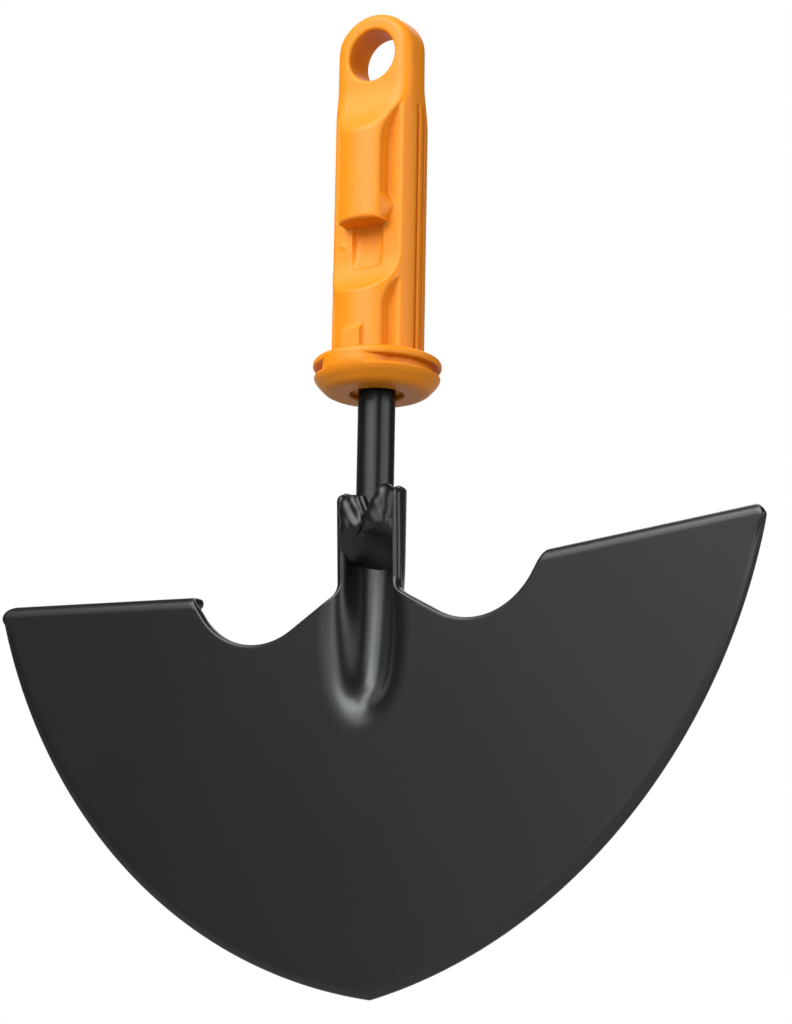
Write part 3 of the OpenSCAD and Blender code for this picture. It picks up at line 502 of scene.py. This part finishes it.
# Surface where a distance field is zero: a point in each grid cell that it crosses, at the mean of the places
# where it crosses the cell's edges, and a face for each crossed edge, from the four cells around it
def fieldSurface(field, low, high, step):
    axes = [np.arange(low[n], high[n] + step, step) for n in range(3)]
    grid = np.stack(np.meshgrid(*axes, indexing="ij"), -1)
    value = field(grid[..., 0], grid[..., 1], grid[..., 2])
    inside = value < 0
    cells = tuple(n - 1 for n in value.shape)
    total, crossings = np.zeros(cells + (3,)), np.zeros(cells)
    edges = []
    for axis in range(3):
        first = [slice(None)] * 3
        second = [slice(None)] * 3
        first[axis], second[axis] = slice(None, -1), slice(1, None)
        va, vb = value[tuple(first)], value[tuple(second)]
        crossed = (va < 0) != (vb < 0)
        part = np.where(crossed, va / np.where(crossed, va - vb, 1), 0)
        spot = np.where(crossed[..., None], grid[tuple(first)], 0)
        spot[..., axis] += part * step
        others = [n for n in range(3) if n != axis]
        for p in (0, 1):
            for q in (0, 1):
                pick = [slice(None)] * 3
                pick[others[0]] = slice(p, cells[others[0]] + p)
                pick[others[1]] = slice(q, cells[others[1]] + q)
                total += spot[tuple(pick)]
                crossings += crossed[tuple(pick)]
        edges.append((crossed, inside[tuple(first)], others))
    active = crossings > 0
    ids = np.full(cells, -1)
    ids[active] = np.arange(active.sum())
    points = total[active] / crossings[active][:, None]
    faces = []
    for axis, (crossed, firstInside, others) in enumerate(edges):
        inner = [slice(None)] * 3
        inner[others[0]], inner[others[1]] = slice(1, -1), slice(1, -1)
        where = np.argwhere(crossed[tuple(inner)])
        where[:, others[0]] += 1
        where[:, others[1]] += 1
        out = firstInside[tuple(where.T)]
        corner = []
        for p, q in ((1, 1), (0, 1), (0, 0), (1, 0)):
            cell = where.copy()
            cell[:, others[0]] -= p
            cell[:, others[1]] -= q
            corner.append(ids[tuple(cell.T)])
        quad = np.stack(corner, -1)
        if axis == 1:
            out = ~out
        faces.append(np.where(out[:, None], quad, quad[:, ::-1]))
    faces = np.concatenate(faces)

    # two steps along the gradient put every point on the true surface; the gradient is also its normal
    nudge, leastSlope = 0.02, 0.05

    def slopeAt(p):
        return np.stack([(field(*(p + nudge * e).T) - field(*(p - nudge * e).T)) / (2 * nudge)
                         for e in np.eye(3)], -1)

    for _ in range(2):
        g = slopeAt(points)
        move = (field(*points.T) / np.maximum((g * g).sum(1), leastSlope))[:, None] * g
        points = points - np.clip(move, -step / 2, step / 2)
    g = slopeAt(points)
    return points, faces, g / np.maximum(np.linalg.norm(g, axis=1), 1e-9)[:, None]


# moulded plug, sizes as in the CAD model; the soft values are the roundings of its edges
# eyelet and scoops, latch block and gusset, run-out and pockets, grooves and marks, flange, tang's hole, grid
plug = dict(radius=12.4, eyeRise=85.0, eyeRadius=12.08, eyeLead=0.9, eyeShoulder=69.0, eyeHole=7.2, eyeHalf=5.1,
            eyeLip=0.9, eyeSoft=3.0, headSoft=0.8, headSpread=3.0, scoopRadius=20.0, scoopSoft=1.2,
            scoopSpan=(62.0, 75.0),
            flatLead=6.2, blockHalf=6.4, flareRise=57.4, flareRadius=22.4, cornerSoft=0.5, cutSoft=0.6,
            ledgeRise=36.4, ledgeSoft=1.3, ledgeReach=2.5, ledgeEdge=0.2, ledgeFade=1.5,
            gussetReach=1.5, gussetProud=1.2, gussetLow=36.2, lowRise=2.1, lowScale=0.43,
            gussetHigh=43.8, highFall=1.2, highScale=0.64, gussetSoft=0.7,
            runRadius=14.0, runRise=28.3, runSoft=0.5, pocketHalf=4.7, pocketRise=24.4, pocketDepth=2.0,
            pocketCorner=1.6, pocketEnd=0.5, pocketSoft=0.6, footHalf=7.3, footRise=12.1, footRadius=11.4,
            grooveHalf=0.6, grooveDepth=0.8, grooveTop=70.0, grooveFade=0.35, grooveSoft=0.35,
            grooveAngles=(86.0, 101.0), keyHalf=2.95, keyHeight=7.0, keyProud=1.0, keyRoot=2.0, keySlope=1.2,
            keySoft=0.5, gateX=-7.8, gateRise=31.6, gateRadius=0.8, gateProud=0.3,
            flangeRadius=17.18, flangeThick=6.8, flangeRound=1.5, bodyRoot=1.0, rimHalf=1.0, rimDepth=2.5,
            rimDrop=3.5, rimSoft=0.8, jointSoft=0.8, webRadius=10.2, webLead=8.0,
            coneRadius=13.4, coneDrop=9.4, coneRound=1.4,
            underRadius=7.2, underDepth=1.5, underSoft=0.6, tangRadius=5.0, boreTop=8.0,
            boxLow=(-18, -18, -10), boxHigh=(18, 18, 99.5), step=0.376)


# Distance field of the plug: a round body, cut by scoops, flats, pockets and grooves, with a flange and a key;
# what is cut is a largest of two distances, what is added a smallest, both with soft meetings
def plugField(x, y, z):
    p = plug
    ax = np.abs(x)
    around = np.hypot(x, y)
    # front view of the head: sides that narrow, then a circle round the hole
    narrowing = (z - p["eyeShoulder"]) / (p["eyeRise"] - p["eyeShoulder"])
    sides = ax - (p["radius"] - (p["radius"] - p["eyeRadius"]) * narrowing)
    fromEye = np.hypot(x, z - p["eyeRise"])
    headView = np.where(z > p["eyeRise"], fromEye - p["eyeRadius"],
                        sides - np.maximum(-narrowing, 0) * p["headSpread"])
    body = softMax(around - p["radius"], headView, p["headSoft"])
    body = np.maximum(body, -z - p["flangeThick"] + p["bodyRoot"])
    # scoops from the round body up to the flat faces of the eyelet, front and back
    start = p["eyeRise"] - p["eyeHole"] - p["eyeLip"]
    for face in (-1, 1):
        out = face * y + face * p["eyeLead"]
        deep = np.where(z > start, p["eyeHalf"] - out,
                        np.hypot(out - p["eyeHalf"] - p["scoopRadius"], z - start) - p["scoopRadius"])
        body = softMax(body, -deep, np.interp(z, p["scoopSpan"], (p["scoopSoft"], p["eyeSoft"])))
    # front flat beside the latch block, which flares at its top and keeps a gusset at its foot
    flat = y + p["flatLead"]
    beside = np.where(z > p["flareRise"],
                      np.hypot(ax - p["blockHalf"] - p["flareRadius"], z - p["flareRise"]) - p["flareRadius"],
                      p["blockHalf"] - ax)
    beyond = ax - p["blockHalf"]
    edgeLead = math.sqrt(p["radius"] ** 2 - p["blockHalf"] ** 2)
    fall = edgeLead - p["flatLead"] - p["gussetProud"]
    gusset = (fall * beyond - p["gussetReach"] * (y + edgeLead)) / math.hypot(fall, p["gussetReach"])
    gusset = softMax(gusset, (z - p["gussetHigh"] + p["highFall"] * beyond) * p["highScale"], p["gussetSoft"])
    gusset = softMax(gusset, (p["gussetLow"] + p["lowRise"] * beyond - z) * p["lowScale"], p["gussetSoft"])
    latch = softMax(softMax(flat, beside, p["cornerSoft"]), -gusset, p["cornerSoft"])
    latch = np.maximum(latch, p["runRise"] - z)
    # flat under the ledge with its run-out, and the pocket in it
    run = np.where(z > p["runRise"], flat,
                   np.hypot(y + p["flatLead"] + p["runRadius"], z - p["runRise"]) - p["runRadius"])
    run = softMax(run, z - p["ledgeRise"], p["runSoft"])
    climb = np.clip((p["ledgeRise"] - z) / (p["ledgeRise"] - p["pocketRise"]), 0, 1)
    pocket = softMax(flat - p["pocketDepth"] * (1 - climb ** 2), ax - p["pocketHalf"], p["pocketCorner"])
    pocket = softMax(pocket, np.maximum(z - p["ledgeRise"], p["pocketRise"] - z), p["pocketEnd"])
    # pockets beside the lower block
    low = np.where(z > p["footRise"],
                   np.hypot(ax - p["footHalf"] - p["footRadius"], z - p["footRise"]) - p["footRadius"],
                   p["footHalf"] - ax)
    low = softMax(flat, low, p["cornerSoft"])
    cut = softMin(np.minimum(np.minimum(latch, run), low), pocket, p["pocketSoft"])
    # the edge of the ledge is rounder than the others
    nearLedge = np.exp(-((z - p["ledgeRise"]) / p["ledgeReach"]) ** 2)
    nearLedge = nearLedge * np.clip((p["blockHalf"] + p["ledgeEdge"] - ax) / p["ledgeFade"], 0, 1)
    body = softMax(body, -cut, p["cutSoft"] + (p["ledgeSoft"] - p["cutSoft"]) * nearLedge)
    # grooves along both sides
    turn = np.arctan2(ax, -y)
    for angle in p["grooveAngles"]:
        across = np.abs(turn - math.radians(angle)) * p["radius"]
        groove = np.maximum(np.maximum(across - p["grooveHalf"], p["radius"] - p["grooveDepth"] - around),
                            (z - p["grooveTop"]) * p["grooveFade"])
        body = softMax(body, -groove, p["grooveSoft"])
    # hanging hole with rounded mouths
    body = roundMax(body, p["eyeHole"] - fromEye, p["eyeLip"])
    # flange: a rounded disc whose lower rim runs down a cone to a flat, its side grooved between two webs
    straight = p["flangeThick"] - p["flangeRound"]
    coneWide, coneTall = p["flangeRadius"] - p["coneRadius"], p["coneDrop"] - straight
    cone = (around - p["flangeRadius"]) * coneTall - (z + straight) * coneWide
    flange = roundMax(around - p["flangeRadius"], z, p["flangeRound"])
    flange = softMax(flange, cone / math.hypot(coneWide, coneTall), p["coneRound"])
    flange = softMax(flange, -z - p["coneDrop"], p["coneRound"])
    web = p["webRadius"] - np.hypot(x, np.abs(y) - p["webLead"])
    rim = np.maximum(np.abs(z + p["rimDrop"]) - p["rimHalf"],
                     np.maximum(p["flangeRadius"] - p["rimDepth"] - around, web))
    flange = softMax(flange, -rim, p["rimSoft"])
    solid = softMin(body, flange, p["jointSoft"])
    # key on the front, gate mark on the flat
    keyTop = p["keyHeight"] - np.maximum(-y - p["radius"], 0) * p["keySlope"]
    key = np.maximum(np.maximum(ax - p["keyHalf"], z - keyTop),
                     np.maximum(-y - p["radius"] - p["keyProud"], np.maximum(y + p["radius"] - p["keyRoot"], -z)))
    solid = softMin(solid, key, p["keySoft"])
    fromGate = np.hypot(x - p["gateX"], z - p["gateRise"])
    solid = solid - np.where(y < 0, p["gateProud"] * np.exp(-(fromGate / p["gateRadius"]) ** 2), 0)
    # recess round the tang under the flange, and the tang's own hole
    under = np.maximum(around - p["underRadius"], z + p["coneDrop"] - p["underDepth"])
    solid = softMax(solid, -under, p["underSoft"])
    return np.maximum(solid, -np.maximum(around - p["tangRadius"], z - p["boreTop"]))


plugPoints, plugFaces, plugNormals = fieldSurface(plugField, plug["boxLow"], plug["boxHigh"], plug["step"])
putPiece("plugMoulding", plugPoints, plugFaces, plugPlastic, "plug_plastic", "plug", plugNormals)

# welds: two beads of runs between the tang and the channel, and a lump that closes the tang's end
# each run goes from one point to another with a radius; a box is the space in which a piece is looked for
weld = dict(tangR=5.0, melt=1.9, leftRagged=0.10, rightRagged=0.045, step=0.2,
            waveWays=((0.9, 0.0, 1.3), (1.1, 0.0, 0.0), (0.6, 1.1, 0.9)), waveShift=0.7, waveShare=0.6,
            left=(((-5.3, -3.6, -40.2), (-4.4, -4.0, -47.6), 3.0),
                  ((-2.9, -5.2, -38.7), (-0.6, -5.6, -45.4), 1.15),
                  ((-0.4, -5.1, -38.9), (1.2, -5.4, -42.4), 0.95),
                  ((-5.6, -4.9, -41.6), (-1.9, -5.5, -46.8), 1.35)),
            right=(((5.8, -3.6, -38.3), (4.8, -3.9, -46.6), 3.0),
                   ((3.6, -4.3, -41.4), (1.4, -4.6, -46.8), 2.2)),
            faceWay=(0.12, -0.58, -0.80), facePoint=(0.0, -6.4, -47.7), faceSwell=0.35, faceSoft=0.6,
            swellX=(0.42, 0.6), swellY=(0.38, 0.5), fullCorner=(-7.0, -1.5, 2.4), fullness=1.3,
            overlap=0.15, tangSoft=0.2,
            footTop=-44.6, footLead=5.6, footSoft=1.2, footInset=0.05, lumpAxis=-1.97, lumpRadius=8.6,
            leftBox=((-9, -9, -51), (4, 1, -34)), rightBox=((-3, -9, -51), (10, 1, -34)),
            footBox=((-9, -9, -63), (9, 8, -43)))


# Slow waves that make a weld ragged, before they are scaled: a product of two sines and a third sine
def weldWaves(x, y, z):
    first, second, third = (u * x + v * y + w * z for u, v, w in weld["waveWays"])
    return np.sin(first) * np.sin(second + weld["waveShift"]) + weld["waveShare"] * np.sin(third)


# Height above the slanting face that ends the welds, with a swell over it and a fuller corner on the left
def lowerFace(x, y, z):
    nx, ny, nz = weld["faceWay"]
    px, py, pz = weld["facePoint"]
    (xRate, xShift), (yRate, yShift) = weld["swellX"], weld["swellY"]
    swell = weld["faceSwell"] * np.sin(xRate * x + xShift) * np.cos(yRate * y + yShift)
    cx, cy, reach = weld["fullCorner"]
    full = weld["fullness"] * np.exp(-((x - cx) ** 2 + (y - cy) ** 2) / (2 * reach ** 2))
    return nx * (x - px) + ny * (y - py) + nz * (z - pz) + swell - full


# Distance field of a bead: runs melted together around the tang, each the distance to a line less a radius
def beadField(runs, ragged):
    def field(x, y, z):
        bead = np.full_like(x, 1e3)  # far off, until the first run
        for first, second, size in runs:
            first, run = np.array(first), np.array(second) - np.array(first)
            gone = ((x - first[0]) * run[0] + (y - first[1]) * run[1] + (z - first[2]) * run[2]) / (run @ run)
            part = np.clip(gone, 0, 1)
            away = np.sqrt((x - first[0] - part * run[0]) ** 2 + (y - first[1] - part * run[1]) ** 2
                           + (z - first[2] - part * run[2]) ** 2)
            bead = softMin(bead, away - size, weld["melt"])
        bead = softMax(bead + ragged * weldWaves(x, y, z), lowerFace(x, y, z), weld["faceSoft"])
        return softMax(bead, weld["tangR"] - weld["overlap"] - np.hypot(x, y), weld["tangSoft"])

    return field


# Distance field of the lump: the channel filled below the tang, cut off by a slanting face that swells
def footField(x, y, z):
    lump = softMax(lowerFace(x, y, z) + weld["footInset"], -y - weld["footLead"], weld["footSoft"])
    lump = softMax(lump, z - weld["footTop"], weld["footSoft"])
    lump = softMax(lump, np.hypot(x, y - weld["lumpAxis"]) - weld["lumpRadius"], weld["tangSoft"])
    bore = np.maximum(np.hypot(x, y) - weld["tangR"] + weld["overlap"], tang["foot"] + weld["overlap"] - z)
    return softMax(lump, -bore, weld["tangSoft"])


leftField = beadField(weld["left"], weld["leftRagged"])
rightField = beadField(weld["right"], weld["rightRagged"])
for name, node, field, box in (("leftWeldBead", "left_weld", leftField, weld["leftBox"]),
                               ("rightWeldBead", "right_weld", rightField, weld["rightBox"]),
                               ("footWeldLump", "foot_weld", footField, weld["footBox"])):
    putPiece(name, *fieldSurface(field, *box, weld["step"])[:2], weldPaint, "weld_paint", node)

# camera as it stood for the photograph: to the right of the head and below it, with a long lens
camera = dict(place=(630.1, -959.9, -342.4), right=33.0, under=14.694, roll=1.0239, lens=157.98,
              sensor=36.0, sees=100.0)


# Axes of the camera from its angle to the right and below, then rolled about its line of sight
def putCamera(c):
    a, e, roll = (math.radians(c[key]) for key in ("right", "under", "roll"))
    back = Vector((math.sin(a) * math.cos(e), -math.cos(a) * math.cos(e), -math.sin(e)))
    across = Vector((math.cos(a), math.sin(a), 0))
    up = back.cross(across)
    x = across * math.cos(roll) + up * math.sin(roll)
    y = up * math.cos(roll) - across * math.sin(roll)
    data = bpy.data.cameras.new("photoCamera")
    data.sensor_fit, data.sensor_height = "VERTICAL", c["sensor"]
    data.lens, data.clip_end = c["lens"], c["sees"]
    eye = bpy.data.objects.new("photoCamera", data)
    turn = Matrix((x, y, back)).transposed().to_4x4()
    eye.matrix_world = Matrix.Translation(Vector(c["place"]) * mm) @ turn
    bpy.context.scene.collection.objects.link(eye)
    bpy.context.scene.camera = eye


putCamera(camera)

# studio, in metres: soft boxes round the head, a dim world, a pale floor well below, white for the camera
# reflections show that white only round the way behind, so that the black paint keeps its depth
studio = dict(centre=(0.0, 0.0, -0.04), ambient=0.11, white=1.0,
              behind=(-0.545, 0.839, 0.0), backdropFrom=0.84, backdropSpan=0.1,
              floor=-0.62, floorSize=30.0, floorColour=(0.25, 0.25, 0.25, 1), floorRough=0.8,
              floorGlow=(0.5, 0.5, 0.5, 1), noGlow=(0, 0, 0, 1), lampAway=1.5,
              lamps=dict(frontBox=dict(turn=0.0, lift=35.0, wide=0.6, tall=0.9, power=16.5),
                         frontLeft=dict(turn=-25.0, lift=35.0, wide=0.6, tall=0.9, power=8.0),
                         highLeft=dict(turn=-36.0, lift=60.0, wide=0.6, tall=0.9, power=10.0),
                         lowFront=dict(turn=-12.0, lift=8.0, wide=1.0, tall=0.9, power=3.1),
                         lowCentre=dict(turn=22.0, lift=8.0, wide=0.6, tall=0.9, power=6.0),
                         lowRight=dict(turn=90.0, lift=10.0, wide=1.4, tall=0.9, power=13.5),
                         rearBox=dict(turn=200.0, lift=50.0, wide=0.8, tall=0.8, power=4.0)))


# A soft box at an angle round the head and above it, facing its centre
def putLamp(name, lamp, centre, distance):
    data = bpy.data.lights.new(name, "AREA")
    data.shape, data.size, data.size_y = "RECTANGLE", lamp["wide"], lamp["tall"]
    data.energy = lamp["power"]
    a, e = math.radians(lamp["turn"]), math.radians(lamp["lift"])
    away = Vector((math.sin(a) * math.cos(e), -math.cos(a) * math.cos(e), math.sin(e)))
    turn = away.to_track_quat("Z", "Y").to_matrix().to_4x4()
    box = bpy.data.objects.new(name, data)
    box.matrix_world = Matrix.Translation(centre + away * distance) @ turn
    bpy.context.scene.collection.objects.link(box)


def putStudio(s):
    for name, lamp in s["lamps"].items():
        putLamp(name, lamp, Vector(s["centre"]), s["lampAway"])
    world = bpy.data.worlds.new("whiteStudio")
    bpy.context.scene.world = world
    sky = Finish(world, "Background")
    seen, glossy, through = sky.rays()
    way = sky.add("ShaderNodeTexCoord", output="Generated")
    behind = sky.add("ShaderNodeVectorMath", {"operation": "DOT_PRODUCT"}, {0: way, 1: s["behind"]}, "Value")
    backdrop = sky.add("ShaderNodeMath", {"operation": "MULTIPLY", "use_clamp": True},
                       {0: behind - s["backdropFrom"], 1: 1 / s["backdropSpan"]})
    strength = sky.add("ShaderNodeMix", None,  # 2 and 3 are the Mix node's two values
                       {0: seen + through + glossy * backdrop, 2: s["ambient"], 3: s["white"]})
    sky.set(Color=(1, 1, 1, 1), Strength=strength)
    half = s["floorSize"] / 2
    mesh = bpy.data.meshes.new("paleFloor")
    corners = [(x * half, y * half, s["floor"]) for x, y in ((-1, -1), (1, -1), (1, 1), (-1, 1))]
    mesh.from_pydata(corners, [], [(0, 1, 2, 3)])
    finish = Finish(bpy.data.materials.new("floorPaper"))
    seen, glossy, through = finish.rays()
    glow = finish.blend(seen + glossy + through, s["noGlow"], s["floorGlow"])
    finish.set(Base_Color=s["floorColour"], Roughness=s["floorRough"], Emission_Color=glow,
               Emission_Strength=s["white"])
    mesh.materials.append(finish.owner)
    floor = bpy.data.objects.new("paleFloor", mesh)
    bpy.context.scene.collection.objects.link(floor)


putStudio(studio)
print("camera and studio ready")
